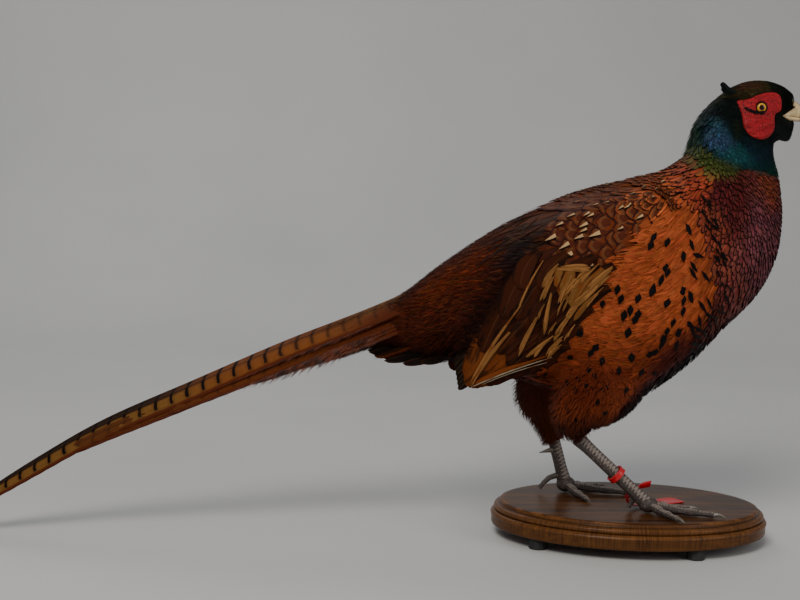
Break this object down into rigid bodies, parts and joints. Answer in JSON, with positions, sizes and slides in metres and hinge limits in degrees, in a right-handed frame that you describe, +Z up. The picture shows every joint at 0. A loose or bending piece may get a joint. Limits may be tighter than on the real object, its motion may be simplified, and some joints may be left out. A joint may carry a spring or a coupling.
{
  "type": "mounted cock pheasant",
  "caption": "Mounted cock pheasant standing with lowered tail on an oval moulded wooden plinth with rubber feet, a red leg band and a plain tag.",
  "frame": {"origin": "middle of the part's box, on the surface that the rubber feet stand on", "axes": "+X from tail to bill, +Y to the bird's left, +Z up"},
  "size_m": [0.7216, 0.1882, 0.4004],
  "materials": {
    "plinth_wood": "dark stained hardwood, semi-gloss varnish",
    "plinth_foot": "black rubber, matt",
    "body_feathers": "overlapping copper, maroon and orange contour feathers with black tips",
    "neck_feathers": "glossy blue-green and purple neck feathers",
    "head_feathers": "short glossy bronze-green and black head feathers",
    "wing_feathers": "buff and dark brown flight feathers and coverts",
    "thigh_feathers": "loose dark brown thigh feathers",
    "tail_feathers": "long olive-buff tail feathers with black bars and maroon fringes",
    "wattle": "bare red granular skin",
    "eye": "polished glass eye, golden iris and dark pupil",
    "bill": "pale horn, satin",
    "claw": "dark horn, satin",
    "leg_scales": "grey-brown scaled skin",
    "red_plastic": "flexible red plastic, satin"
  },
  "bodies": {
    "root": {"plinth": "plinth_wood", "plinth_foot_1": "plinth_foot", "plinth_foot_2": "plinth_foot", "plinth_foot_3": "plinth_foot", "plinth_foot_4": "plinth_foot", "trunk": "body_feathers", "neck": "neck_feathers", "wing_right": "wing_feathers", "wing_left": "wing_feathers", "tail_middle_right": "tail_feathers", "tail_middle_left": "tail_feathers", "tail_side_1_right": "tail_feathers", "tail_side_1_left": "tail_feathers", "tail_side_2_right": "tail_feathers", "tail_side_2_left": "tail_feathers", "tail_side_3_right": "tail_feathers", "tail_side_3_left": "tail_feathers", "tail_side_4_right": "tail_feathers", "tail_side_4_left": "tail_feathers", "head": "head_feathers", "bill_upper": "bill", "bill_lower": "bill", "eye_right": "eye", "wattle_right": "wattle", "ear_tuft_right": "head_feathers", "eye_left": "eye", "wattle_left": "wattle", "ear_tuft_left": "head_feathers", "leg_band": "red_plastic", "thigh_right": "thigh_feathers", "shank_right": "leg_scales", "spur_right": "claw", "toe_outer_right": "leg_scales", "claw_outer_right": "claw", "toe_middle_right": "leg_scales", "claw_middle_right": "claw", "toe_inner_right": "leg_scales", "claw_inner_right": "claw", "toe_hind_right": "leg_scales", "thigh_left": "thigh_feathers", "shank_left": "leg_scales", "spur_left": "claw", "toe_outer_left": "leg_scales", "claw_outer_left": "claw", "toe_middle_left": "leg_scales", "claw_middle_left": "claw", "toe_inner_left": "leg_scales", "claw_inner_left": "claw", "toe_hind_left": "leg_scales", "tag": "red_plastic", "tag_strap": "red_plastic"}
  },
  "joints": []
}
